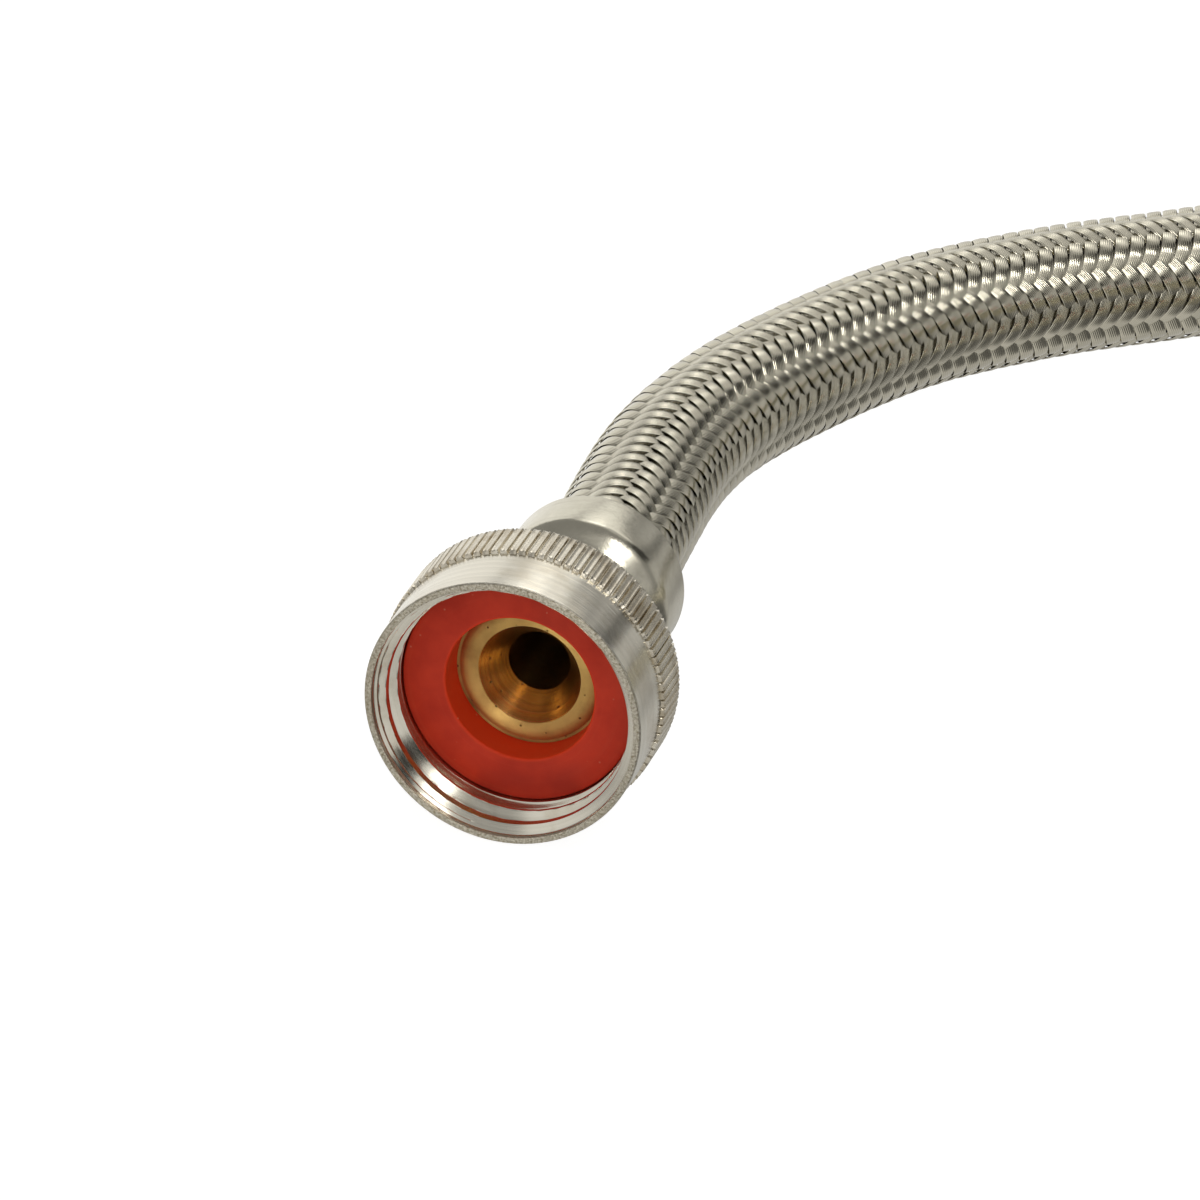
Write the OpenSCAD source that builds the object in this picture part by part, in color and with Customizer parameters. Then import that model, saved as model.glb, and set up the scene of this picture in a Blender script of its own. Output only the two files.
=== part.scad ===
// Braided supply line: two swivel hose couplings joined by a steel-braided rubber hose.
// The near coupling lies along +Y with its mouth facing -Y and its collar resting on z = 0.
// The hose runs back from it, bends to +X and ends in a tied coil with the far coupling inside it.
// Each coupling is drawn along its own axis: s = 0 is the plane of its mouth, and s grows towards the hose.

/* [Coupling nut] */
// Outer radius of the smooth band at the mouth
band_r = 14.9; // [13:0.1:17]
// Outer radius of the gripped collar, which rests on the ground
collar_r = 15.4; // [14:0.1:18]
// Where the collar begins, from the mouth
collar_start = 7; // [5:0.1:10]
// Length of the nut
nut_len = 13; // [10:0.1:20]
// Radius of the thread's crests, for a 3/4-11.5 NH male thread
thread_r = 12.25; // [11:0.05:14]
// Where the threaded wall ends, from the mouth
thread_end = 5.2; // [4:0.1:12]
// Radius of the recess that holds the washer and the flange
recess_r = 12.9; // [12:0.05:14]

/* [Washer and stem] */
// Outer radius of the washer
washer_r = 12.65; // [12:0.05:13]
// Radius of the washer's hole
washer_hole_r = 8.05; // [7:0.05:10]
// Front face of the washer, from the mouth
washer_front = 6.1; // [5:0.1:10]
// Thickness of the washer
washer_t = 4.2; // [2:0.1:6]
// Radius of the brass nose inside the washer
nose_r = 7.75; // [6:0.05:8]
// Radius of the water passage
bore_r = 3.35; // [2:0.05:5]
// Radius of the neck that the nut turns on
neck_r = 7.93; // [6:0.01:9]
// Radial clearance of the nut on the neck
swivel_gap = 0.07; // [0.02:0.01:0.1]

/* [Ferrule] */
// Outer radius of the crimped neck of the sleeve
crimp_r = 7.8; // [7:0.1:10]
// Outer radius of the wide band of the sleeve
sleeve_r = 9.8; // [8:0.1:12]
// End of the coupling at the hose, from the mouth
coupling_len = 34; // [28:0.5:45]

/* [Hose] */
// Outer radius of the braid
hose_r = 7.5; // [6:0.01:10]
// Outer radius of the rubber tube, where the braid begins
tube_r = 6.6; // [5:0.05:9]
// Inner radius of the rubber tube
tube_bore_r = 4.75; // [3:0.05:7]

/* [Coil] */
// Radius of the outer turn, to the hose's centre
coil_r = 97; // [80:1:110]
// Distance between turns that lie side by side
turn_pitch = 15.3; // [15.1:0.1:18]
// Thickness of the tie's strap
strap_t = 1.2; // [1:0.1:2]
// Width of the tie's strap
strap_w = 4.8; // [3:0.1:8]

/* [Part] */
// Sub-part to build

/* [Hidden] */

$fn = 96;
nickel = [0.74, 0.72, 0.66];
brass = [0.72, 0.56, 0.30];
rubber_red = [0.62, 0.17, 0.11];
rubber_black = [0.10, 0.10, 0.11];
nylon = [0.88, 0.88, 0.86];

washer_back = washer_front + washer_t;
flange_r = 12.5;
flange_back = 11.85;
shoulder = 11.9;
neck_end = 14.4;
shank_r = 4.7;
shank_end = 32;
barb_r = 4.95;
barb_pitch = 3;
cone_r = 5.6;
cone_front = 9.7;
cone_back = 13.1;

// The free stretch of hose from the near coupling to the coil, chosen point by point.
lead_route = [
    [0, 17, 15.4], [-0.3, 25, 15.5], [-0.7, 34, 15.8], [-0.8, 43.3, 16.1], [0.2, 52.3, 16.3],
    [2.8, 62.3, 16.4], [6.3, 71.4, 16.3], [10.6, 80.8, 16.1], [16, 90.2, 15.8], [22.6, 99.1, 15.1],
    [29.4, 106.8, 14.4], [37, 114.1, 13.6], [51.6, 127.6, 12.6], [65.6, 139.8, 11.6],
    [79.3, 150.6, 10.7], [93, 159.9, 9.9], [106.9, 167.8, 9.3], [121.3, 174.1, 8.9], [136.4, 178.9, 8.7]
];
// Rings inside the ferrule, as [distance from its end, share of the hose's radius].
crimp_rings = [[-18, 0.915], [-11.5, 0.915], [-7, 0.99], [-3, 1]];

// The coil: angle turned from where the hose joins it, clockwise seen from above.
coil_centre = [166, 86];
join_deg = 98;
step_in_deg = [250, 360];
end_in_deg = [440, 598];
end_r = 60;
rise_deg = [548, 595];
tail_start_deg = 330;
tie_deg = [14, 76];
lying_z = hose_r + strap_t;

function ease(a, b, x) = let (u = max(0, min(1, (x - a) / (b - a)))) u * u * (3 - 2 * u);

function turn_r(a) = coil_r - turn_pitch * ease(step_in_deg[0], step_in_deg[1], a)
    - (coil_r - turn_pitch - end_r) * ease(end_in_deg[0], end_in_deg[1], a);

function turn_point(a) = let (p = join_deg - a, r = turn_r(a)) [
    coil_centre[0] + r * cos(p),
    coil_centre[1] + r * sin(p),
    lying_z + (collar_r - lying_z) * ease(rise_deg[0], rise_deg[1], a)
];

tail_deg = [for (a = [tail_start_deg : 12 : end_in_deg[1] - 6]) a];
far_end = turn_point(end_in_deg[1]);
far_heading = join_deg - end_in_deg[1] - 90;
far_out = [cos(far_heading), sin(far_heading), 0];

// A hollow tube through rings of [centre, direction, share of the radius].
function unit(v) = v / norm(v);
function side_of(t) = unit(cross(t, [0, 0, 1]));
function ring(p, t, r, sides) = let (e = side_of(t), f = cross(e, t))
    [for (j = [0 : sides - 1]) let (a = 360 * j / sides) p + r * (sin(a) * e + cos(a) * f)];
function heading(p, i) = unit(p[min(i + 1, len(p) - 1)] - p[max(i - 1, 0)]);

module swept_tube(rings, r_out, r_in, sides = 12) {
    n = len(rings);
    pts = [
        for (r = [r_out, r_in]) for (g = rings) each ring(g[0], g[1], r * g[2], sides)
    ];
    wall = [
        for (i = [0 : n - 2]) for (j = [0 : sides - 1]) let (k = (j + 1) % sides)
            each [[i * sides + j, i * sides + k, (i + 1) * sides + k],
                  [i * sides + j, (i + 1) * sides + k, (i + 1) * sides + j]]
    ];
    m = n * sides;
    bore = [for (t = wall) [t[2] + m, t[1] + m, t[0] + m]];
    last = (n - 1) * sides;
    ends = [
        for (j = [0 : sides - 1]) let (k = (j + 1) % sides)
            each [[j, m + k, k], [j, m + j, m + k],
                  [last + j, last + k, last + m + k], [last + j, last + m + k, last + m + j]]
    ];
    polyhedron(points = pts, faces = concat(wall, bore, ends), convexity = 6);
}

function crimped(end, out) = [
    for (c = crimp_rings) [end + c[0] * out, out, c[1]]
];
function reversed(v) = [for (i = [len(v) - 1 : -1 : 0]) v[i]];

lead_rings = concat(
    crimped(lead_route[0], [0, 1, 0]),
    [for (i = [0 : len(lead_route) - 1]) [lead_route[i], i == 0 ? [0, 1, 0] : heading(lead_route, i), 1]],
    [[turn_point(0), unit(turn_point(3) - turn_point(-3)), 1]]
);
tail_rings = concat(
    [for (a = tail_deg) [turn_point(a), unit(turn_point(a + 3) - turn_point(a - 3)), 1]],
    [[far_end, far_out, 1]],
    [for (c = reversed(crimp_rings)) [far_end - c[0] * far_out, far_out, c[1]]]
);

// Places a piece drawn along s on the near or the far coupling's axis.
module at_inlet() {
    translate([0, 17 - coupling_len, collar_r]) rotate([-90, 0, 0]) children();
}
module at_outlet() {
    translate(far_end) rotate([0, 0, far_heading + 90]) rotate([-90, 0, 0])
        translate([0, 0, -coupling_len]) children();
}

// A turned piece from its outline of [radius, s].
module turned(outline) {
    rotate_extrude() polygon(outline);
}

module nut() {
    step = 0.3;
    turned([
        [band_r - 0.75, 0], [band_r, 0], [band_r + 0.08, collar_start], [collar_r, collar_start + step],
        [collar_r, nut_len - step], [collar_r - step, nut_len], [neck_r + swivel_gap, nut_len],
        [neck_r + swivel_gap, shoulder], [recess_r, shoulder], [recess_r, thread_end + 0.2],
        [thread_r, thread_end], [thread_r, 1], [band_r - 1.3, 0.5]
    ]);
}

module washer() {
    turned([
        [washer_hole_r, washer_front], [washer_r, washer_front],
        [washer_r, washer_back], [washer_hole_r, washer_back]
    ]);
}

module stem() {
    barbs = [
        for (s = [16 : barb_pitch : shank_end - barb_pitch])
            each [[shank_r, s], [barb_r, s], [shank_r, s + barb_pitch - 0.2]]
    ];
    turned(concat(
        [[bore_r, cone_back], [cone_r, cone_front], [nose_r - 1.2, cone_front - 0.1],
         [nose_r - 0.3, cone_front + 0.15], [nose_r, cone_front + 0.6], [nose_r, washer_back],
         [flange_r, washer_back], [flange_r, flange_back], [neck_r, flange_back], [neck_r, neck_end],
         [5.15, neck_end], [5.15, neck_end + 1]],
        barbs,
        [[shank_r - 0.4, shank_end], [bore_r, shank_end]]
    ));
}

module ferrule() {
    wall = 0.8;
    flare = [for (u = [0 : 0.125 : 1]) [crimp_r + (sleeve_r - crimp_r) * ease(0, 1, u), 23.5 + 4 * u]];
    turned(concat(
        [[5.2, neck_end], [crimp_r - 0.3, neck_end], [crimp_r, neck_end + 0.3]],
        flare,
        [[sleeve_r, coupling_len - 1], [sleeve_r - 0.3, coupling_len - 0.3],
         [sleeve_r - 0.9, coupling_len], [hose_r + 0.08, coupling_len],
         [hose_r + 0.08, coupling_len - 0.8]],
        [for (p = reversed(flare)) [p[0] - wall, p[1] + (p[0] > crimp_r + 0.1 ? 0.3 : 0)]],
        [[crimp_r - wall, neck_end + 0.9], [5.2, neck_end + 0.9]]
    ));
}

module inlet_nut() { color(nickel) at_inlet() nut(); }
module inlet_washer() { color(rubber_red) at_inlet() washer(); }
module inlet_stem() { color(brass) at_inlet() stem(); }
module inlet_ferrule() { color(nickel) at_inlet() ferrule(); }
module outlet_nut() { color(nickel) at_outlet() nut(); }
module outlet_washer() { color(rubber_red) at_outlet() washer(); }
module outlet_stem() { color(brass) at_outlet() stem(); }
module outlet_ferrule() { color(nickel) at_outlet() ferrule(); }

module inlet_run_tube() { color(rubber_black) swept_tube(lead_rings, tube_r, tube_bore_r); }
module inlet_run_braid() { color(nickel) swept_tube(lead_rings, hose_r, tube_r); }
module outlet_run_tube() { color(rubber_black) swept_tube(tail_rings, tube_r, tube_bore_r); }
module outlet_run_braid() { color(nickel) swept_tube(tail_rings, hose_r, tube_r); }

// The outer shape of the full turn.
module hose_coil() {
    color(nickel) translate([coil_centre[0], coil_centre[1], lying_z])
        rotate_extrude() translate([coil_r, 0]) circle(hose_r, $fn = 36);
}

// Cross-section round two hoses lying side by side.
module two_turns(r) {
    translate([-turn_pitch / 2, 0]) circle(r);
    translate([turn_pitch / 2, 0]) circle(r);
    square([turn_pitch, 2 * r], center = true);
}

// A strap round both turns, with its locking head and the cut end of the strap on top.
module coil_tie(turned_deg) {
    head = [7, 6, 4.6];
    end_len = 9;
    mid_r = coil_r - turn_pitch / 2;
    color(nylon) translate([coil_centre[0], coil_centre[1], lying_z])
        rotate([0, 0, join_deg - turned_deg]) translate([mid_r, 0, 0]) {
            rotate([90, 0, 0]) linear_extrude(strap_w, center = true) difference() {
                two_turns(hose_r + strap_t);
                two_turns(hose_r + 0.02);
            }
            translate([0, 0, hose_r + strap_t - 0.2 + head[2] / 2]) cube(head, center = true);
            translate([head[0] / 2 - 0.5, -strap_w / 2 + 0.3, hose_r + 2.2])
                cube([end_len, strap_w - 0.6, 1.1]);
        }
}

module coil_tie_back() { coil_tie(tie_deg[0]); }
module coil_tie_front() { coil_tie(tie_deg[1]); }

inlet_nut();
inlet_washer();
inlet_stem();
inlet_ferrule();
inlet_run_tube();
inlet_run_braid();
hose_coil();
outlet_run_tube();
outlet_run_braid();
outlet_ferrule();
outlet_stem();
outlet_washer();
outlet_nut();
coil_tie_back();
coil_tie_front();
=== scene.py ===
"""Braided supply line: a hose in a woven steel sleeve, with a swivel coupling on each end.

Shapes are worked out in millimetres and given to Blender in metres. A coupling is drawn along its
own axis: s = 0 is the plane of its mouth, and s grows towards the hose. Its outlines are points of
radius and s, each with the rounding of that corner where it has one.
"""

import math

import bmesh
import bpy
import numpy as np
from mathutils import Matrix, Vector


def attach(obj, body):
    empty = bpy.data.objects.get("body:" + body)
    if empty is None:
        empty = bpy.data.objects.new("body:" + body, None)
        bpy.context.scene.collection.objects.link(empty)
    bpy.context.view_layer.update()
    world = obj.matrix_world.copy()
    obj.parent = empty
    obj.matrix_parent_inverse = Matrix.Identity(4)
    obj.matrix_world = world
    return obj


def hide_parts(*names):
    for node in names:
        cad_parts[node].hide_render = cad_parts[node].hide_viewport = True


MM = 0.001
MICRON = 0.000001
TAU = 2 * math.pi
SEED = 11

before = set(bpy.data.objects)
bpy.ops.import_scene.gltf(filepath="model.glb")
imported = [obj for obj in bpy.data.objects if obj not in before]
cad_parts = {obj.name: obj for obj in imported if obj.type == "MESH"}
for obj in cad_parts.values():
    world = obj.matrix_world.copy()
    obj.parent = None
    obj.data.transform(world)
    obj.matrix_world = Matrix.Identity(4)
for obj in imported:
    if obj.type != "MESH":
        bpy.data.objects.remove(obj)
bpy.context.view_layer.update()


# ---------------------------------------------------------------- sizes, as in the CAD source

COUPLING_LEN = 34
NUT_LEN = 13
BAND_R = 14.9
COLLAR_R = 15.4
COLLAR_START = 7.05
HOSE_R = 7.5
TUBE_BORE_R = 4.75
STRAP_T = 1.2
STRAP_W = 4.8

# The middle of the hose from the near ferrule to the coil. The photo shows its first 100 mm.
LEAD_ROUTE = [
    (0, 17, 15.4), (-0.3, 25, 15.5), (-0.7, 34, 15.8), (-0.8, 43.3, 16.1), (0.2, 52.3, 16.3),
    (2.8, 62.3, 16.4), (6.3, 71.4, 16.3), (10.6, 80.8, 16.1), (16, 90.2, 15.8), (22.6, 99.1, 15.1),
    (29.4, 106.8, 14.4), (37, 114.1, 13.6), (51.6, 127.6, 12.6), (65.6, 139.8, 11.6),
    (79.3, 150.6, 10.7), (93, 159.9, 9.9), (106.9, 167.8, 9.3), (121.3, 174.1, 8.9),
    (136.4, 178.9, 8.7),
]
ROUTE_STEP = 0.25
INSIDE_FERRULE = 17.5  # length of the hose inside each ferrule
STRAIGHT_AT = (6, 12, INSIDE_FERRULE)  # points on the coupling's axis, by how far they are inside

# The coil, in degrees turned since the hose joined it: where the hose steps in to the inner turn,
# curls in to the far coupling, and rises to it. The ties are at TIE_DEG.
COIL_CENTRE = (166, 86)
COIL_R = 97
TURN_PITCH = 15.3
JOIN_DEG = 98
STEP_IN_DEG = (250, 360)
END_IN_DEG = (440, 598)
RISE_DEG = (548, 595)
TIE_DEG = (14, 76)
COIL_STEP_DEG = 8
END_R = 60
LYING_Z = HOSE_R + STRAP_T


# ---------------------------------------------------------------- the hose's line


def ease(a, b, x):
    """0 up to a, 1 from b on, and smooth between."""
    u = np.clip((x - a) / (b - a), 0, 1)
    return u * u * (3 - 2 * u)


def turn_point(a):
    """Centre of the hose after it has turned a degrees round the coil."""
    p = math.radians(JOIN_DEG - a)
    inner = COIL_R - TURN_PITCH
    r = COIL_R - TURN_PITCH * ease(*STEP_IN_DEG, a) - (inner - END_R) * ease(*END_IN_DEG, a)
    z = LYING_Z + (COLLAR_R - LYING_Z) * ease(*RISE_DEG, a)
    return COIL_CENTRE[0] + r * math.cos(p), COIL_CENTRE[1] + r * math.sin(p), z


def spline(points, step):
    """A natural cubic spline through the points, sampled about every step along it."""
    p = np.array(points, float)
    h = np.linalg.norm(np.diff(p, axis=0), axis=1)
    n = len(p)
    system, right = np.zeros((n, n)), np.zeros((n, 3))
    system[0, 0] = system[-1, -1] = 1
    for i in range(1, n - 1):
        system[i, i - 1 : i + 2] = h[i - 1], 2 * (h[i - 1] + h[i]), h[i]
        right[i] = 6 * ((p[i + 1] - p[i]) / h[i] - (p[i] - p[i - 1]) / h[i - 1])
    m = np.linalg.solve(system, right)
    along = np.concatenate([[0], np.cumsum(h)])
    at = np.linspace(0, along[-1], int(along[-1] / step) + 1)
    i = np.clip(np.searchsorted(along, at, side="right") - 1, 0, n - 2)
    u, v, hi = (at - along[i])[:, None], (along[i + 1] - at)[:, None], h[i][:, None]
    return (
        (m[i] * v**3 + m[i + 1] * u**3) / (6 * hi)
        + (p[i] / hi - m[i] * hi / 6) * v
        + (p[i + 1] / hi - m[i + 1] * hi / 6) * u
    )


FAR_END = np.array(turn_point(END_IN_DEG[1]))
FAR_HEADING = math.radians(JOIN_DEG - END_IN_DEG[1] - 90)
FAR_OUT = np.array([math.cos(FAR_HEADING), math.sin(FAR_HEADING), 0])


def hose_route():
    """Points down the middle of the hose, from inside one ferrule to inside the other."""
    start = [(0, LEAD_ROUTE[0][1] - d, COLLAR_R) for d in reversed(STRAIGHT_AT)]
    coil = [turn_point(a) for a in range(0, END_IN_DEG[1] - COIL_STEP_DEG // 2, COIL_STEP_DEG)]
    end = [FAR_END + d * FAR_OUT for d in (0, *STRAIGHT_AT)]
    return spline([*start, *LEAD_ROUTE, *coil, *end], ROUTE_STEP)


class Line:
    """A curve with a frame that doesn't twist.

    At each distance l from the near ferrule's end it has its centre c, tangent t, and two directions
    across it, e1 and e2.
    """

    def __init__(self, points, first_side, start):
        steps = np.linalg.norm(np.diff(points, axis=0), axis=1)
        self.c = points
        self.l = np.concatenate([[0], np.cumsum(steps)]) + start
        t = np.gradient(points, axis=0)
        self.t = t / np.linalg.norm(t, axis=1)[:, None]
        side, sides = np.array(first_side, float), []
        for tangent in self.t:
            side = side - (side @ tangent) * tangent
            side /= np.linalg.norm(side)
            sides.append(side)
        self.e1 = np.array(sides)
        self.e2 = np.cross(self.e1, self.t)

    def at(self, distances, *names):
        """The named arrays (c, t, e1 or e2) at those distances."""
        known = {"c": self.c, "t": self.t, "e1": self.e1, "e2": self.e2}
        return [
            np.stack([np.interp(distances, self.l, known[n][:, k]) for k in range(3)], axis=1)
            for n in names
        ]


hose_line = Line(hose_route(), (1, 0, 0), -INSIDE_FERRULE)
HOSE_LEN = hose_line.l[-1] - INSIDE_FERRULE


# ---------------------------------------------------------------- camera, floor and light

CAMERA_AT = (237.618, -758.815, 411.64)
CAMERA_AZ, CAMERA_EL = 17.016, 26.188
FOCAL_SHARE = 8500 / 1200  # focal length as a share of the picture's width
SENSOR = 36
FLOOR_HALF = 3  # metres


def away(azimuth, elevation):
    """The direction from the object at that azimuth and elevation. Azimuth 0 is -Y, and 90 is +X."""
    a, e = math.radians(azimuth), math.radians(elevation)
    return Vector((math.sin(a) * math.cos(e), -math.cos(a) * math.cos(e), math.sin(e)))


def make_camera():
    """The photo's viewpoint, worked out from the ellipses of the nut."""
    data = bpy.data.cameras.new("camera")
    data.sensor_width = SENSOR
    data.lens = FOCAL_SHARE * SENSOR
    data.clip_start, data.clip_end = 0.01, 20
    camera = bpy.data.objects.new("camera", data)
    camera.location = Vector(CAMERA_AT) * MM
    camera.rotation_euler = away(CAMERA_AZ, CAMERA_EL).to_track_quat("Z", "Y").to_euler()
    bpy.context.scene.collection.objects.link(camera)
    bpy.context.scene.camera = camera


# Round areas of light and shade that the metal mirrors, each over the ones before it: name, azimuth,
# elevation, degrees from its middle to where the even part ends and to where it ends, and its light.
SURROUNDINGS = [
    ("front", 10, 5, 60, 80, 0.74),
    ("floor_front", -20, -60, 50, 80, 0.6),
    ("floor_back", 165, -52, 25, 36, 0.52),
    ("floor_right", 92, -28, 26, 36, 0.13),
    ("wall_right", 131, 4, 24, 36, 0.48),
    ("wall_left", -146, 0, 29, 35, 1.0),
    ("wall_back", -166, 3, 8, 14, 0.75),
    ("soft_box", -179, 43, 13, 20, 1.15),
    ("soft_box_right", 147, 51, 10, 15, 0.55),
    ("soft_box_edge", 155, 38, 5, 10, 1.1),
    ("soft_box_core", -176, 44, 5, 8, 2.4),
    ("flag", 151, 10.5, 2.5, 5.5, 0.12),
    ("flag_middle", 142, 20, 6, 8, 0.03),
    ("flag_high", 132, 28, 8, 11, 0.03),
    ("flag_right", 117, 37, 12, 16, 0.04),
    ("front_high", -10, 40, 14, 22, 0.33),
    ("gap_top", 62, 22, 11, 13, 0.03),
    ("gap_high", 46, 18, 10.5, 12, 0.03),
    ("gap_middle", 29, 8, 7.8, 8.8, 0.03),
    ("gap_low", 14, -2, 5.2, 6, 0.03),
    ("screen_high", 31, 37.5, 9, 11, 3.2),
    ("screen_middle", 16, 21.5, 6.5, 8, 2.4),
    ("screen_low", 5, 5.5, 3.8, 5.2, 2.4),
    ("lamp_front", -7, -14, 4, 6, 9.5),
    ("lamp_right_low", 77, 47, 3, 5, 8.0),
    ("lamp_right", 75, 55, 3, 5, 8.0),
    ("lamp_right_high", 71, 63, 3, 5, 8.0),
]
AMBIENT = 0.27  # light from everywhere else
WHITE, WARM_WHITE, PAPER_GREY = (1, 1, 1, 1), (1, 0.985, 0.945, 1), (0.3, 0.3, 0.3, 1)
PAPER_GLOW = 0.9


def light_from_all_sides(nodes, links):
    """A socket with the light from each direction."""
    direction = nodes.new("ShaderNodeTexCoord").outputs["Generated"]
    light = None
    for name, azimuth, elevation, even, soft, amount in SURROUNDINGS:
        toward = nodes.new("ShaderNodeVectorMath")
        toward.operation = "DOT_PRODUCT"
        links.new(direction, toward.inputs[0])
        toward.inputs[1].default_value = away(azimuth, elevation)
        share = nodes.new("ShaderNodeMapRange")
        share.interpolation_type = "SMOOTHSTEP"
        links.new(toward.outputs["Value"], share.inputs[0])
        share.inputs[1].default_value = math.cos(math.radians(soft))
        share.inputs[2].default_value = math.cos(math.radians(even))
        mix = nodes.new("ShaderNodeMix")
        mix.label = name
        links.new(share.outputs[0], mix.inputs["Factor"])
        if light is None:
            mix.inputs["A"].default_value = AMBIENT
        else:
            links.new(light, mix.inputs["A"])
        mix.inputs["B"].default_value = amount
        light = mix.outputs["Result"]
    return light


def make_studio():
    """A plain studio: light walls and floor, soft boxes, lamps and dark gaps. The camera sees white."""
    world = bpy.data.worlds.new("studio")
    bpy.context.scene.world = world
    world.use_nodes = True
    nodes, links = world.node_tree.nodes, world.node_tree.links
    nodes.clear()
    backdrop, lit = nodes.new("ShaderNodeBackground"), nodes.new("ShaderNodeBackground")
    lit.inputs["Color"].default_value = WARM_WHITE
    backdrop.inputs["Color"].default_value = WHITE
    links.new(light_from_all_sides(nodes, links), lit.inputs["Strength"])
    path = nodes.new("ShaderNodeLightPath")
    mix = nodes.new("ShaderNodeMixShader")
    output = nodes.new("ShaderNodeOutputWorld")
    links.new(path.outputs["Is Camera Ray"], mix.inputs[0])
    links.new(lit.outputs[0], mix.inputs[1])
    links.new(backdrop.outputs[0], mix.inputs[2])
    links.new(mix.outputs[0], output.inputs[0])
    view = bpy.context.scene.view_settings
    view.view_transform, view.look = "Standard", "None"


def make_floor():
    """White paper. The metal mirrors the studio's own floor tones instead of the paper's white."""
    mesh = bpy.data.meshes.new("floor")
    signs = ((-1, -1), (1, -1), (1, 1), (-1, 1))
    mesh.from_pydata([(FLOOR_HALF * x, FLOOR_HALF * y, 0) for x, y in signs], [], [(0, 1, 2, 3)])
    floor = bpy.data.objects.new("floor", mesh)
    bpy.context.scene.collection.objects.link(floor)
    floor.visible_glossy = floor.visible_diffuse = False
    paper = bpy.data.materials.new("paper")
    paper.use_nodes = True
    surface = paper.node_tree.nodes["Principled BSDF"]
    surface.inputs["Base Color"].default_value = PAPER_GREY
    surface.inputs["Roughness"].default_value = 1
    surface.inputs["Specular IOR Level"].default_value = 0
    surface.inputs["Emission Color"].default_value = WHITE
    surface.inputs["Emission Strength"].default_value = PAPER_GLOW
    mesh.materials.append(paper)


make_camera()
make_studio()
make_floor()


# ---------------------------------------------------------------- mesh helpers


def add_piece(name, mesh, material, sharp, matrix=None):
    """A smooth object of that mesh. Its edges above the sharp angle, in degrees, stay crisp."""
    mesh.shade_smooth()
    mesh.set_sharp_from_angle(angle=math.radians(sharp))
    mesh.materials.append(material)
    piece = bpy.data.objects.new(name, mesh)
    bpy.context.scene.collection.objects.link(piece)
    if matrix is not None:
        piece.matrix_world = matrix
    return piece


def mesh_piece(name, points, faces, material, sharp=40, matrix=None):
    """An object from points in millimetres and faces."""
    mesh = bpy.data.meshes.new(name)
    mesh.from_pydata((np.asarray(points) * MM).tolist(), [], faces)
    return add_piece(name, mesh, material, sharp, matrix)


def grid_faces(rows, columns, close_rows, close_columns, first=0):
    """Faces of a grid of points, row by row."""
    i = np.arange(rows if close_rows else rows - 1)
    j = np.arange(columns if close_columns else columns - 1)
    i, j = np.meshgrid(i, j, indexing="ij")
    k, m = (i + 1) % rows, (j + 1) % columns
    quads = np.stack([i * columns + j, k * columns + j, k * columns + m, i * columns + m], axis=-1)
    return quads.reshape(-1, 4) + first


def rounded(outline, steps=5):
    """A closed outline of (radius, s, rounding) as points. A corner with no rounding stays sharp."""
    made, n = [], len(outline)
    for k, corner in enumerate(outline):
        p, rounding = np.array(corner[:2], float), corner[2] if len(corner) > 2 else 0
        if not rounding:
            made.append(p)
            continue
        a = np.array(outline[k - 1][:2], float) - p
        b = np.array(outline[(k + 1) % n][:2], float) - p
        la, lb = np.linalg.norm(a), np.linalg.norm(b)
        half = math.acos(np.clip(a @ b / la / lb, -1, 1)) / 2
        reach = min(rounding / math.tan(half), 0.49 * la, 0.49 * lb)
        first, last = p + a / la * reach, p + b / lb * reach
        for t in np.linspace(0, 1, steps + 1):
            made.append((1 - t) ** 2 * first + 2 * t * (1 - t) * p + t * t * last)
    return np.array(made)


def turned(outline, angles):
    """Points and faces of a ring turned from a closed outline.

    outline is (n, 2) of radius and s, or (n, angles, 2) where it changes round the ring.
    """
    outline = np.array(outline, float)
    if outline.ndim == 2:
        outline = np.repeat(outline[:, None], len(angles), axis=1)
    r, s = outline[:, 0, 0], outline[:, 0, 1]
    if np.sum(r * np.roll(s, -1) - np.roll(r, -1) * s) > 0:
        outline = outline[::-1]
    r, s = outline[..., 0], outline[..., 1]
    points = np.stack([r * np.cos(angles), r * np.sin(angles), s], axis=-1).reshape(-1, 3)
    return points, grid_faces(outline.shape[0], len(angles), True, True).tolist()


def even_angles(n):
    return np.arange(n) * TAU / n


def swell(s, angle, amount, seed):
    """A slow unevenness over a turned surface, as pressing and plating leave."""
    rng = np.random.default_rng(seed)
    total = 0
    for _ in range(7):
        waves, length, phase = rng.integers(1, 7), rng.uniform(5, 16), rng.uniform(0, TAU, 2)
        total = total + np.cos(waves * angle + phase[0]) * np.cos(TAU * s / length + phase[1])
    return amount * total / 7


# ---------------------------------------------------------------- materials

NICKEL, NICKEL_STAIN = (0.8, 0.765, 0.67, 1), (0.58, 0.51, 0.39, 1)
NICKEL_LINE, NICKEL_WORN = (0.52, 0.485, 0.41, 1), (0.33, 0.285, 0.2, 1)
KNURL, KNURL_STAIN = (0.76, 0.715, 0.615, 1), (0.5, 0.435, 0.33, 1)
BRASS_CONE, BRASS_CONE_STAIN = (0.72, 0.455, 0.17, 1), (0.5, 0.285, 0.09, 1)
BRASS_FACE, BRASS_FACE_STAIN = (0.7, 0.47, 0.155, 1), (0.5, 0.31, 0.1, 1)
BRASS_LINE, BRASS_PIT = (0.42, 0.23, 0.07, 1), (0.16, 0.09, 0.03, 1)
RED, RED_DARK, RED_DUST = (0.66, 0.042, 0.014, 1), (0.52, 0.03, 0.011, 1), (0.7, 0.1, 0.05, 1)
# The second colour here is painted light: the brighter red of the washer's lit hole wall.
RED_SMUDGE, RED_WALL_PAINTED_LIGHT, RED_SPECK = (0.3, 0.02, 0.012, 1), (0.78, 0.05, 0.01, 1), (0.7, 0.3, 0.2, 1)
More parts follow.
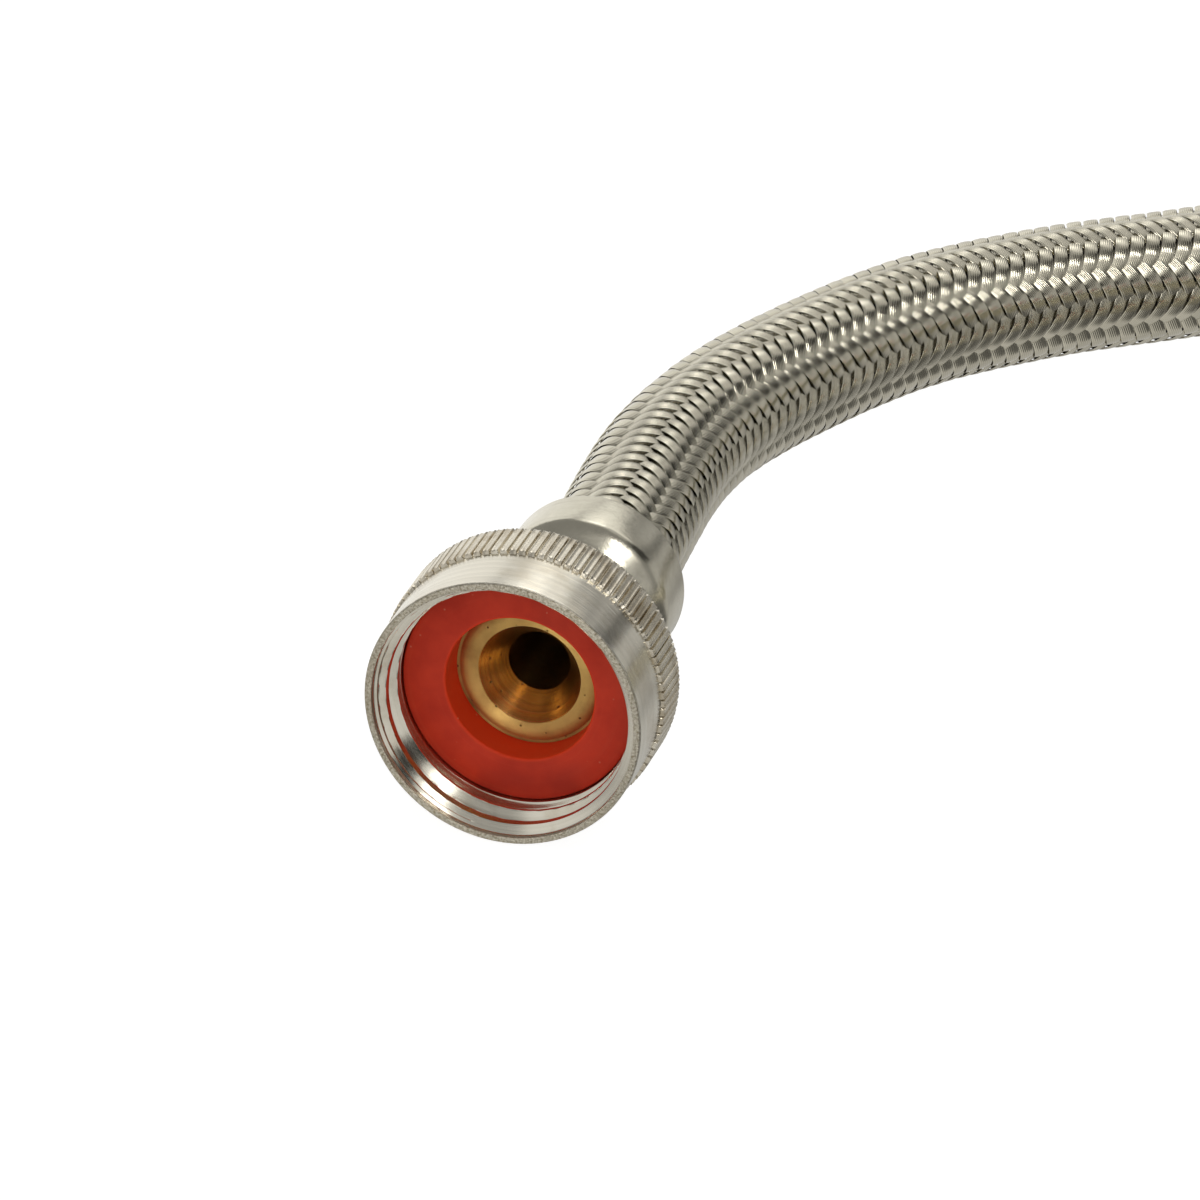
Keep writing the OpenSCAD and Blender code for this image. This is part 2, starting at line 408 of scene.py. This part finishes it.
SLEEVE, SLEEVE_CLOUD = (0.72, 0.69, 0.585, 1), (0.6, 0.57, 0.475, 1)
SLEEVE_SCUFF = (0.45, 0.42, 0.35, 1)
WIRE_DULL, WIRE_BRIGHT = (0.6, 0.57, 0.47, 1), (0.72, 0.685, 0.57, 1)
# Painted shade for the grooves between the wires of a strand.
WIRE_GROOVE_SHADE = (0.3, 0.275, 0.21, 1)
TUBE_BLACK, TUBE_GREY = (0.012, 0.012, 0.013, 1), (0.035, 0.034, 0.033, 1)
NYLON_LIGHT, NYLON_DARK = (0.78, 0.78, 0.74, 1), (0.68, 0.68, 0.63, 1)
WIRES = 7  # in each strand of the braid


class Paint:
    """Short ways to build one material's nodes."""

    def __init__(self, name, **sockets):
        self.material = bpy.data.materials.new(name)
        self.material.use_nodes = True
        self.tree = self.material.node_tree
        self.surface = self.tree.nodes["Principled BSDF"]
        for socket, value in sockets.items():
            self.surface.inputs[socket.replace("_", " ")].default_value = value

    def node(self, kind, **settings):
        made = self.tree.nodes.new("ShaderNode" + kind)
        for name, value in settings.items():
            setattr(made, name, value)
        return made

    def put(self, value, socket):
        """Links value to the input socket if it is a socket, and sets it otherwise."""
        if isinstance(value, bpy.types.NodeSocket):
            self.tree.links.new(value, socket)
        else:
            socket.default_value = value

    def maths(self, operation, *values):
        made = self.node("Math", operation=operation)
        for value, socket in zip(values, made.inputs):
            self.put(value, socket)
        return made.outputs[0]

    def vector(self, operation, *values):
        made = self.node("VectorMath", operation=operation)
        for value, socket in zip(values, made.inputs):
            self.put(value, socket)
        return made.outputs["Value" if operation == "LENGTH" else "Vector"]

    def split(self, vector):
        made = self.node("SeparateXYZ")
        self.put(vector, made.inputs[0])
        return made.outputs

    def place(self):
        """The point on the piece, in metres from its origin."""
        return self.node("TexCoord").outputs["Object"]

    def radius(self):
        """Distance from the piece's own axis, in metres."""
        return self.vector("LENGTH", self.vector("MULTIPLY", self.place(), (1, 1, 0)))

    def turning(self, fine, coarse):
        """Coordinates that run fast along a turned surface's outline and slowly round it."""
        place = self.split(self.place())
        along = self.maths("SUBTRACT", place["Z"], self.radius())
        joined = self.node("CombineXYZ")
        self.put(self.maths("MULTIPLY", along, fine), joined.inputs[0])
        self.put(self.maths("MULTIPLY", place["X"], coarse), joined.inputs[1])
        self.put(self.maths("MULTIPLY", place["Y"], coarse), joined.inputs[2])
        return joined.outputs[0]

    def noise(self, coords, scale=1.0, detail=4.0, roughness=0.55):
        made = self.node("TexNoise")
        self.put(coords, made.inputs["Vector"])
        made.inputs["Scale"].default_value = scale
        made.inputs["Detail"].default_value = detail
        made.inputs["Roughness"].default_value = roughness
        return made.outputs["Fac"]

    def spots(self, scale, size):
        """1 in scattered small spots, else 0."""
        made = self.node("TexVoronoi")
        self.put(self.place(), made.inputs["Vector"])
        made.inputs["Scale"].default_value = scale
        return self.span(made.outputs["Distance"], size, size * 0.4, 0, 1)

    def span(self, value, low, high, out_low, out_high):
        """value moved from low..high to out_low..out_high, and kept inside."""
        made = self.node("MapRange")
        for v, socket in zip((value, low, high, out_low, out_high), made.inputs):
            self.put(v, socket)
        return made.outputs[0]

    def blend(self, share, a, b):
        """Colour a where share is 0, and b where it is 1."""
        made = self.node("Mix", data_type="RGBA")
        self.put(share, made.inputs[0])
        self.put(a, made.inputs[6])
        self.put(b, made.inputs[7])
        return made.outputs[2]

    def bump(self, *layers):
        """Stacks bumps of (height from 0 to 1, how deep that is in microns) on the surface."""
        normal = None
        for height, depth in layers:
            made = self.node("Bump")
            made.inputs["Strength"].default_value = 1
            made.inputs["Distance"].default_value = depth * MICRON
            self.put(height, made.inputs["Height"])
            if normal is not None:
                self.put(normal, made.inputs["Normal"])
            normal = made.outputs[0]
        self.put(normal, self.surface.inputs["Normal"])

    def brush(self, amount):
        """Stretches the gloss across lines that run round the piece's own axis."""
        self.surface.inputs["Anisotropic"].default_value = amount
        self.surface.inputs["Anisotropic Rotation"].default_value = 0.25
        tangent = self.node("Tangent", direction_type="RADIAL", axis="Z")
        self.put(tangent.outputs[0], self.surface.inputs["Tangent"])

    def finish(self, colour, roughness):
        self.put(colour, self.surface.inputs["Base Color"])
        self.put(roughness, self.surface.inputs["Roughness"])
        return self.material


def nickel_band():
    """Bright nickel over turned brass: fine lines round it, faint stains, worn edges."""
    p = Paint("nickel_turned", Metallic=1.0)
    lines = p.noise(p.turning(5000, 30), detail=5)
    broad = p.noise(p.turning(1300, 20), detail=3)
    stain = p.noise(p.place(), 160, 5)
    base = p.blend(p.span(stain, 0.5, 0.78, 0, 1), NICKEL, NICKEL_STAIN)
    lined = p.blend(p.span(broad, 0.4, 0.75, 0, 0.35), base, NICKEL_LINE)
    rim = p.span(p.split(p.place())["Z"], 0.1 * MM, 0.3 * MM, 1, 0)
    pits = p.noise(p.place(), 3600, 3, 0.6)
    worn = p.maths("MULTIPLY", rim, p.span(pits, 0.4, 0.65, 0.25, 1))
    colour = p.blend(worn, lined, NICKEL_WORN)
    p.bump((broad, 10), (lines, 10), (p.maths("MULTIPLY", rim, pits), 120))
    p.brush(0.88)
    gloss = p.span(lines, 0.3, 0.7, 0.12, 0.2)
    return p.finish(colour, p.maths("ADD", gloss, p.maths("MULTIPLY", rim, 0.25)))


def nickel_knurl():
    """Nickel on the gripped ridges: scratched and stained."""
    p = Paint("nickel_knurl", Metallic=1.0)
    scratch = p.noise(p.place(), 1400, 8, 0.65)
    stain = p.noise(p.place(), 300, 5)
    colour = p.blend(p.span(stain, 0.42, 0.7, 0, 1), KNURL, KNURL_STAIN)
    p.bump((scratch, 20))
    return p.finish(colour, p.span(scratch, 0.3, 0.7, 0.16, 0.34))


def brass_turned():
    """Bare brass: cutter marks round the cone, a dull mottled face outside it, and small pits."""
    p = Paint("brass_turned", Metallic=1.0)
    lines = p.noise(p.turning(1900, 20), detail=6)
    stain = p.noise(p.place(), 330, 5)
    pits = p.spots(700, 0.12)
    warm = p.blend(p.span(stain, 0.35, 0.7, 0, 1), BRASS_CONE, BRASS_CONE_STAIN)
    cut = p.blend(p.span(lines, 0.45, 0.57, 0, 0.75), warm, BRASS_LINE)
    mottle = p.blend(p.span(stain, 0.4, 0.68, 0, 1), BRASS_FACE, BRASS_FACE_STAIN)
    face = p.span(p.radius(), 5.5 * MM, 5.7 * MM, 0, 1)
    colour = p.blend(pits, p.blend(face, cut, mottle), BRASS_PIT)
    p.bump((lines, 35), (pits, -40))
    p.brush(0.9)
    gloss = p.span(lines, 0.3, 0.7, 0.18, 0.28)
    return p.finish(colour, p.maths("ADD", gloss, p.maths("MULTIPLY", face, 0.22)))


def red_rubber():
    """Moulded red rubber with faint rings, dust, smudges and specks. Its hole's wall has painted light.
    """
    p = Paint("red_rubber", Specular_IOR_Level=0.22)
    rings = p.noise(p.turning(1600, 15), detail=4)
    cloud = p.noise(p.place(), 220, 5)
    specks = p.spots(520, 0.08)
    base = p.blend(p.span(cloud, 0.35, 0.7, 0, 1), RED, RED_DARK)
    dusty = p.blend(p.span(rings, 0.55, 0.8, 0, 0.22), base, RED_DUST)
    # Painted light: the hole's wall gets a brighter, redder colour for the light it catches.
    wall = p.span(p.radius(), 8.1 * MM, 8.4 * MM, 1, 0)
    smudge = p.span(p.noise(p.place(), 75, 3), 0.56, 0.72, 0, 0.5)
    dirty = p.blend(smudge, dusty, RED_SMUDGE)
    wall_painted_light = p.blend(wall, dirty, RED_WALL_PAINTED_LIGHT)
    colour = p.blend(p.maths("MULTIPLY", specks, 0.4), wall_painted_light, RED_SPECK)
    p.bump((rings, 20), (cloud, 40))
    return p.finish(colour, p.span(cloud, 0.3, 0.7, 0.45, 0.62))


def satin_sleeve():
    """Pressed stainless steel, satin, with a soft grain and a few scuffs."""
    p = Paint("satin_sleeve", Metallic=1.0)
    grain = p.noise(p.place(), 2600, 6, 0.6)
    cloud = p.noise(p.place(), 190, 4)
    scuff = p.noise(p.turning(900, 60), detail=6)
    base = p.blend(p.span(cloud, 0.35, 0.7, 0, 1), SLEEVE, SLEEVE_CLOUD)
    colour = p.blend(p.span(scuff, 0.6, 0.8, 0, 0.4), base, SLEEVE_SCUFF)
    p.bump((cloud, 40), (grain, 10))
    return p.finish(colour, p.span(grain, 0.3, 0.7, 0.15, 0.26))


def woven_wire():
    """Stainless wires side by side in flat strands: one bump for each wire across the strand, and
    painted shade in the grooves between the wires.
    """
    p = Paint("woven_wire", Metallic=1.0)
    across = p.split(p.node("UVMap", uv_map="strand").outputs[0])["X"]
    wires = p.maths("ABSOLUTE", p.maths("SINE", p.maths("MULTIPLY", across, math.pi * WIRES)))
    tone = p.node("Attribute", attribute_name="tone").outputs["Fac"]
    wear = p.noise(p.place(), 420, 4)
    base = p.blend(tone, WIRE_DULL, WIRE_BRIGHT)
    # Painted shade: a darker colour where the wires meet, in the grooves between them and at the
    # strand's edges.
    colour = p.blend(p.span(wires, 0.0, 0.45, 0.35, 0), base, WIRE_GROOVE_SHADE)
    p.bump((wires, 14))
    return p.finish(colour, p.span(wear, 0.3, 0.7, 0.13, 0.23))


def black_rubber():
    """The tube under the braid, seen between the strands."""
    p = Paint("black_rubber", Specular_IOR_Level=0.3)
    cloud = p.noise(p.place(), 500, 4)
    colour = p.blend(cloud, TUBE_BLACK, TUBE_GREY)
    p.bump((cloud, 50))
    return p.finish(colour, p.span(cloud, 0.3, 0.7, 0.5, 0.7))


def nylon():
    """Natural nylon of the ties, slightly waxy."""
    p = Paint("nylon", Subsurface_Weight=0.15, Subsurface_Scale=2 * MM)
    cloud = p.noise(p.place(), 240, 4)
    fine = p.noise(p.place(), 2500, 3)
    colour = p.blend(cloud, NYLON_LIGHT, NYLON_DARK)
    p.bump((fine, 20))
    return p.finish(colour, p.span(fine, 0.3, 0.7, 0.32, 0.48))


# ---------------------------------------------------------------- braid

STRANDS_EACH_WAY = 12
FLOAT_PITCH = 2.1  # along the hose, between strands of one column
WIND = TAU / STRANDS_EACH_WAY / FLOAT_PITCH  # radians round for each millimetre along
COLUMNS = 6  # over-and-under waves round the hose
PHASE = math.radians(-2)
WAVE_SHIFT = TAU / 8  # so that no two strands cross where both are at the middle radius
TWIST = math.radians(-0.12)  # the whole weave turns slowly, by this for each millimetre
STRAND_HALF_W = 0.83
STRAND_T = 0.24
CROWN = 0.055  # how far the strand's top drops towards its edges, and then
EDGE_DROP = 0.06  # how much more at the edges themselves
MID_R = HOSE_R - 0.48
WEAVE = 0.35  # how far a strand goes out and in of the middle radius
SWAY = ((0.006, 9.1), (0.004, 3.7))  # a strand's unevenness round the hose: radians, millimetres
SWELL = (0.015, 5.3)  # the same outwards, both in millimetres

# Stretches of braid: the one near the camera is finer. Step along, points over and under a strand.
NEAR_MESH = (FLOAT_PITCH / 8, 9, 3)
FAR_MESH = (FLOAT_PITCH / 5, 5, 2)
NEAR_CUTS = (65, 135)
FAR_PIECES = 5
BRAID_TUCK = 5  # inside each ferrule

LINER_R = 6.58
LINER_STEP = 2.0
LINER_SIDES = 28
LINER_SQUEEZE = 0.1  # share of its radius that the tube loses inside a ferrule
SQUEEZED_FROM = 6  # millimetres inside the ferrule


def strand_points(index, way, distances, section):
    """Rings of points along one strand. way is 1 or -1, the way that it winds."""
    rng = np.random.default_rng([SEED, index, way + 1])
    wander = rng.uniform(0, TAU, 3)
    theta = PHASE + TAU * index / STRANDS_EACH_WAY + way * WIND * distances
    for (amount, length), phase in zip(SWAY, wander):
        theta = theta + amount * np.sin(distances / length + phase)
    wave = np.cos(COLUMNS * (theta - PHASE) - WAVE_SHIFT)
    theta = theta + TWIST * distances
    r = MID_R + way * WEAVE * wave + SWELL[0] * np.sin(distances / SWELL[1] + wander[2])
    c, t, e1, e2 = hose_line.at(distances, "c", "t", "e1", "e2")
    cos, sin = np.cos(theta)[:, None], np.sin(theta)[:, None]
    out = cos * e1 + sin * e2
    around = -sin * e1 + cos * e2
    lean = math.atan(WIND * MID_R)
    across = -way * math.sin(lean) * t + math.cos(lean) * around
    centre = c + r[:, None] * out
    sideways, outwards = section[:, 0][None, :, None], section[:, 1][None, :, None]
    return centre[:, None] + sideways * across[:, None] + outwards * out[:, None]


def strand_section(top, bottom):
    """A flat strand's cross-section: crowned above, flat below, thin at its edges."""
    u = np.linspace(-1, 1, top)
    height = STRAND_T / 2 - CROWN * u**2 - EDGE_DROP * u**6
    upper = np.stack([u * STRAND_HALF_W, height], axis=1)
    v = np.linspace(1, -1, bottom + 2)[1:-1]
    lower = np.stack([v * STRAND_HALF_W * 0.96, np.full(bottom, -STRAND_T / 2)], axis=1)
    return np.concatenate([upper, lower])


def braid_piece(name, start, stop, step, top, bottom, material):
    """All strands of one stretch of the hose, each with its own tone and its UVs along and across."""
    distances = np.linspace(start, stop, int(round((stop - start) / step)) + 1)
    section = strand_section(top, bottom)
    n, m = len(distances), len(section)
    rng = np.random.default_rng(SEED)
    points, faces, tones = [], [], []
    for way in (1, -1):
        for index in range(STRANDS_EACH_WAY):
            first = sum(len(p) for p in points)
            last = first + (n - 1) * m
            points.append(strand_points(index, way, distances, section).reshape(-1, 3))
            faces.extend(grid_faces(n, m, False, True, first).tolist())
            faces.append(list(range(first, first + m)))
            faces.append(list(range(last + m - 1, last - 1, -1)))
            tones.append(np.full(n * m, rng.uniform(0, 1)))
    piece = mesh_piece(name, np.concatenate(points), faces, material, sharp=60)
    mesh = piece.data
    tone = mesh.attributes.new("tone", "FLOAT", "POINT")
    tone.data.foreach_set("value", np.concatenate(tones).astype(np.float32))
    u = np.concatenate([np.linspace(0, 1, top), np.linspace(1, 0, bottom + 2)[1:-1]])
    corner = np.zeros(len(mesh.loops), np.int32)
    mesh.loops.foreach_get("vertex_index", corner)
    along = np.tile(np.repeat(distances, m), 2 * STRANDS_EACH_WAY)
    uv = np.stack([np.tile(u, n * 2 * STRANDS_EACH_WAY)[corner], along[corner] / 10], axis=1)
    mesh.uv_layers.new(name="strand").data.foreach_set("uv", uv.ravel().astype(np.float32))
    return piece


def liner_piece(name, material):
    """The rubber tube under the braid, open at both ends. Returns it and the points it follows."""
    stop = HOSE_LEN + INSIDE_FERRULE
    distances = np.append(np.arange(-INSIDE_FERRULE, stop, LINER_STEP), stop)
    near_end = 1 - ease(-INSIDE_FERRULE, -SQUEEZED_FROM, distances)
    far_end = ease(HOSE_LEN + SQUEEZED_FROM, stop, distances)
    outer = LINER_R * (1 - LINER_SQUEEZE * (near_end + far_end))
    c, e1, e2 = hose_line.at(distances, "c", "e1", "e2")
    angles = even_angles(LINER_SIDES)[None, :, None]
    out = np.cos(angles) * e1[:, None] + np.sin(angles) * e2[:, None]
    skins = [c[:, None] + outer[:, None, None] * out, c[:, None] + TUBE_BORE_R * out]
    points = np.concatenate([s.reshape(-1, 3) for s in skins])
    rows, n = len(distances), LINER_SIDES
    out_faces = grid_faces(rows, n, False, True)
    in_faces = grid_faces(rows, n, False, True, rows * n)[:, ::-1]
    ends = []
    for row, flip in ((0, 1), (rows - 1, -1)):
        for j in range(n):
            k = (j + 1) % n
            a, b = row * n + j, row * n + k
            ends.append([a, b, b + rows * n, a + rows * n][::flip])
    faces = out_faces.tolist() + in_faces.tolist() + ends
    return mesh_piece(name, points, faces, material), c


# ---------------------------------------------------------------- couplings

THREAD_PITCH = 25.4 / 11.5
THREAD_CREST_R = 12.6
THREAD_DEPTH = 1.2
THREAD_STOP = 5.75
THREAD_STEP = 0.06  # along the axis, between rows of points
THREAD_SLICES = 540
CREST_HALF_W = 0.06
FLANK = 0.577  # along the axis, for each millimetre of depth
MOUTH_R = 14.15
RELIEF_R = 12.78  # the plain groove between the thread and the washer
NECK_HOLE_R = 8.0
RIDGES = 96
RING_SLICES = 256
STEM_BORE_R = 3.35
SHANK_R = 4.7
FERRULE_R = 9.8
FERRULE_NECK_R = 7.8
FERRULE_WALL = 0.8
UNEVEN = 0.08  # the most that the ferrule's surface sinks in


def thread_radius(s, angle):
    """Radius of the right-handed internal thread. Its crests are cut back towards the mouth."""
    place = (s / THREAD_PITCH - angle / TAU) % 1.0
    from_crest = np.abs(place - 0.5) * THREAD_PITCH
    r = THREAD_CREST_R + np.clip((from_crest - CREST_HALF_W) / FLANK, 0, THREAD_DEPTH)
    reamed = 13.45 - 0.18 * s
    lead_in = MOUTH_R - 1.7 * np.maximum(0, s - 0.75)
    run_out = ease(5.5, 5.7, s)
    r = np.maximum(np.maximum(r, reamed), lead_in)
    return r * (1 - run_out) + RELIEF_R * run_out


def nut_shell():
    """The nut without its collar: the smooth band, the wall at the back and the cut thread."""
    angles = even_angles(THREAD_SLICES)
    plain = rounded([
        (MOUTH_R, 0.03), (MOUTH_R + 0.1, 0, 0.06), (BAND_R - 0.12, 0, 0.12),
        (BAND_R + 0.02, 0.25, 0.15), (BAND_R + 0.06, 3.5), (BAND_R + 0.09, COLLAR_START + 0.1),
        (14.5, COLLAR_START + 0.1), (14.5, NUT_LEN - 0.05), (NECK_HOLE_R + 0.3, NUT_LEN, 0.2),
        (NECK_HOLE_R, NUT_LEN - 0.6), (NECK_HOLE_R, 11.9), (12.95, 11.9), (12.95, 7),
        (RELIEF_R, 6.8), (RELIEF_R, 5.8),
    ])
    plain = np.repeat(plain[:, None], len(angles), axis=1)
    s = np.arange(THREAD_STOP, 0.04, -THREAD_STEP)[:, None]
    thread = np.stack(np.broadcast_arrays(thread_radius(s, angles[None]), s), axis=-1)
    return turned(np.concatenate([plain, thread]), angles)


def nut_collar():
    """The gripped ring: straight ridges with narrow grooves between, cut a little unevenly.

    across runs over one ridge from groove to groove, and low is the share of the groove's depth there.
    """
    rng = np.random.default_rng(SEED)
    across = np.array([-0.5, -0.44, -0.38, -0.34, -0.29, -0.2, 0, 0.2, 0.29, 0.34, 0.38, 0.44])
    low = np.array([1, 0.95, 0.35, 0.02, 0.0, 0.16, 0.22, 0.16, 0.0, 0.02, 0.35, 0.95])
    shift = rng.normal(0, 0.03, (RIDGES, 1))
    depth = rng.uniform(0.3, 0.42, (RIDGES, 1))
    shifted = across + shift * (np.abs(across) < 0.4)
    angles = ((np.arange(RIDGES)[:, None] + shifted) / RIDGES * TAU).ravel()
    cut = (depth * low).ravel()
    ragged = rng.uniform(0, 0.22, (RIDGES, 1)).repeat(len(across), axis=1).ravel()
    rows = [
        (14.4, COLLAR_START, 0), (14.9, COLLAR_START, 0), (15.26, COLLAR_START + 0.01, 1),
        (15.35, COLLAR_START + 0.06, 1), (COLLAR_R, COLLAR_START + 0.2, 1),
        (COLLAR_R, COLLAR_START + 0.7, 1), (COLLAR_R, 9, 1), (COLLAR_R, 11, 1),
        (COLLAR_R, NUT_LEN - 0.6, 1), (15.36, NUT_LEN - 0.35, 1), (15.24, NUT_LEN - 0.12, 0.8),
        (15.0, NUT_LEN, 0.2), (14.4, NUT_LEN, 0),
    ]
    outline = []
    for r, s, share in rows:
        radius = np.full(len(angles), r) - cut * share
        along = np.full(len(angles), s) + ragged * (0 < s - COLLAR_START < 0.4)
        outline.append(np.stack([np.minimum(radius, COLLAR_R), along], axis=-1))
    return turned(np.array(outline), angles)


def washer_shape():
    """The flat ring that seals the mouth, with soft edges."""
    outline = [(8.05, 6.15, 0.3), (12.7, 6.1, 0.3), (12.7, 10.25, 0.2), (8.05, 10.25, 0.2)]
    return turned(rounded(outline, 6), even_angles(RING_SLICES))


def stem_shape():
    """The brass stem: crowned nose, cone down to the bore, flange, neck and barbed shank."""
    crown = [(5.6 + 2.15 * u, 9.64 + 0.5 * u**5) for u in np.linspace(0, 1, 15)]
    barbs = []
    for s in range(16, 29, 3):
        barbs += [(SHANK_R, s), (SHANK_R + 0.25, s, 0.05), (SHANK_R, s + 2.8)]
    outline = rounded([
        (STEM_BORE_R, 13.1, 0.15), (5.52, 9.76, 0.08), *crown, (7.75, 10.31), (12.5, 10.31),
        (12.5, 11.8), (7.93, 11.8), (7.93, 14.4), (5.15, 14.4), (5.15, 15.4), *barbs,
        (SHANK_R - 0.4, 32), (STEM_BORE_R, 32),
    ])
    return turned(outline, even_angles(RING_SLICES))


def ferrule_shape():
    """The crimped sleeve: neck, concave shoulder, wide band and the lip turned in on the braid."""
    widening = FERRULE_R - FERRULE_NECK_R
    flare = [
        (FERRULE_NECK_R + widening * float(ease(0, 1, u)), 23.5 + 4 * u) for u in np.linspace(0, 1, 13)
    ]
    outside = rounded([
        (5.2, 14.42), (7.55, 14.42, 0.2), (FERRULE_NECK_R, 14.75, 0.2), *flare, (FERRULE_R, 30),
        (FERRULE_R, 33.2, 0.7), (9.3, 33.85, 0.4), (8.2, 33.98, 0.2), (7.55, 33.6, 0.3), (7.6, 32.5),
        (7.62, 30),
    ])
    inside = [(FERRULE_R - FERRULE_WALL, 29)]
    inside += [(r - FERRULE_WALL, s + 0.3) for r, s in reversed(flare)]
    inside += [(FERRULE_NECK_R - FERRULE_WALL, 15.3), (5.2, 15.3)]
    angles = even_angles(RING_SLICES)
    grid = np.repeat(np.concatenate([outside, inside])[:, None], len(angles), axis=1)
    r, s = grid[..., 0], grid[..., 1]
    off_the_braid = (r > 7.65) & (s > 15)
    r += off_the_braid * np.minimum(0, swell(s, angles[None], UNEVEN, SEED))
    return turned(grid, angles)


def coupling_matrix(mouth, outward):
    """Places the local frame, whose Z runs from the mouth towards the hose."""
    z = -Vector(outward)
    x = Vector((0, 0, 1)).cross(z) * -1
    rotation = Matrix((x, z.cross(x), z)).transposed().to_4x4()
    return Matrix.Translation(Vector(mouth) * MM) @ rotation


def build_coupling(end, matrix, paints):
    """All pieces of one coupling, on their bodies and in place of their nodes."""
    # name, shape, paint, body, node, material slot
    kinds = [
        ("nut_shell", nut_shell, "band", f"{end}_coupling", "nut", "nickel"),
        ("nut_collar", nut_collar, "knurl", f"{end}_coupling", "nut", "nickel"),
        ("washer_ring", washer_shape, "rubber", f"{end}_seal", "washer", "washer"),
        ("stem_turned", stem_shape, "brass", "hose", "stem", "brass"),
        ("ferrule_pressed", ferrule_shape, "sleeve", "hose", "ferrule", "sleeve"),
    ]
    made = []
    for kind, shape, paint, body, node, slot in kinds:
        points, faces = shape()
        piece = mesh_piece(f"{end}_{kind}", points, faces, paints[paint], 32, matrix)
        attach(piece, body)
        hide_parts(f"{end}_{node}")
        made.append(piece)
    return made


# ---------------------------------------------------------------- ties

TIE_MID_R = COIL_R - TURN_PITCH / 2
ARC_STEPS = 40
STRAIGHT_STEPS = 15
RIB_H = 0.16
HEAD_SIZE, HEAD_AT = (6.8, 5.8, 4.4), (TIE_MID_R, 0, HOSE_R + STRAP_T + 2.1)
END_SIZE, END_AT = (8.8, 4.1, 1.0), (TIE_MID_R + 7.4, 0, HOSE_R + 2.75)
HEAD_BEVEL, END_BEVEL = 0.5, 0.3


def strap_line():
    """Points x, z round both turns of the hose, each with the direction out of the strap there."""
    r, half = HOSE_R + 0.05, TURN_PITCH / 2
    line = []
    for side in (1, -1):
        for k in range(ARC_STEPS + 1):
            a = side * math.pi / 2 - math.pi * k / ARC_STEPS
            line.append((side * half + r * math.cos(a), r * math.sin(a), math.cos(a), math.sin(a)))
        for k in range(1, STRAIGHT_STEPS):
            x = side * (half - TURN_PITCH * k / STRAIGHT_STEPS)
            line.append((x, -side * r, 0, -side))
    return line


def strap_shape():
    """Points and faces of the strap, with thin edges and ribs across its back."""
    w, edge, top = STRAP_W / 2, (STRAP_T - 0.08) * 0.75, STRAP_T - 0.08 - RIB_H
    line = strap_line()
    points = []
    for k, (x, z, out_x, out_z) in enumerate(line):
        back = top + 0.99 * RIB_H * (k % 2)
        half = [(w, 0), (w, edge), (w - 0.35, top), (w / 2, back)]
        section = [(-y, h) for y, h in half] + half[::-1]
        points += [(TIE_MID_R + x + out_x * h, y, z + out_z * h) for y, h in section]
    return np.array(points), grid_faces(len(line), len(section), True, True).tolist()


def rounded_box(name, size, centre, bevel, material, matrix):
    """A box with rounded edges, in millimetres."""
    shape = bmesh.new()
    bmesh.ops.create_cube(shape, size=1)
    for v in shape.verts:
        v.co = Vector([v.co[k] * size[k] + centre[k] for k in range(3)]) * MM
    edges = shape.edges[:]
    bmesh.ops.bevel(shape, geom=edges, offset=bevel * MM, segments=3, affect="EDGES", profile=0.5)
    mesh = bpy.data.meshes.new(name)
    shape.to_mesh(mesh)
    shape.free()
    return add_piece(name, mesh, material, 50, matrix)


def build_tie(name, turned_deg, material):
    """A cable tie round both turns, turned_deg round the coil: strap, head and loose end."""
    matrix = (
        Matrix.Translation(Vector((*COIL_CENTRE, LYING_Z)) * MM)
        @ Matrix.Rotation(math.radians(JOIN_DEG - turned_deg), 4, "Z")
    )
    points, faces = strap_shape()
    strap = mesh_piece(f"{name}_strap", points, faces, material, 40, matrix)
    head = rounded_box(f"{name}_head", HEAD_SIZE, HEAD_AT, HEAD_BEVEL, material, matrix)
    loose = rounded_box(f"{name}_end", END_SIZE, END_AT, END_BEVEL, material, matrix)
    for piece in (strap, head, loose):
        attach(piece, "hose")
    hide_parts(name)
    return [strap, head, loose]


# ---------------------------------------------------------------- build

wire = woven_wire()
liner, liner_path = liner_piece("hose_liner", black_rubber())
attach(liner, "hose")
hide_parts("inlet_run_tube", "outlet_run_tube")

near_cuts = [-BRAID_TUCK, *NEAR_CUTS]
far_cuts = np.linspace(NEAR_CUTS[-1], HOSE_LEN + BRAID_TUCK, FAR_PIECES + 1)
stretches = [(a, b, *NEAR_MESH) for a, b in zip(near_cuts, near_cuts[1:])]
stretches += [(a, b, *FAR_MESH) for a, b in zip(far_cuts, far_cuts[1:])]
braids = [braid_piece(f"braid_{k}", *stretch, wire) for k, stretch in enumerate(stretches, 1)]
for piece in braids:
    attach(piece, "hose")
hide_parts("inlet_run_braid")
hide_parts("hose_coil", "outlet_run_braid")

paints = {
    "band": nickel_band(),
    "knurl": nickel_knurl(),
    "rubber": red_rubber(),
    "brass": brass_turned(),
    "sleeve": satin_sleeve(),
}
near_mouth = (0, LEAD_ROUTE[0][1] - COUPLING_LEN, COLLAR_R)
far_mouth = FAR_END + COUPLING_LEN * FAR_OUT
build_coupling("inlet", coupling_matrix(near_mouth, (0, -1, 0)), paints)
far_pieces = build_coupling("outlet", coupling_matrix(far_mouth, FAR_OUT), paints)

tie_paint = nylon()
ties = []
for name, turned_deg in zip(("coil_tie_back", "coil_tie_front"), TIE_DEG):
    ties += build_tie(name, turned_deg, tie_paint)
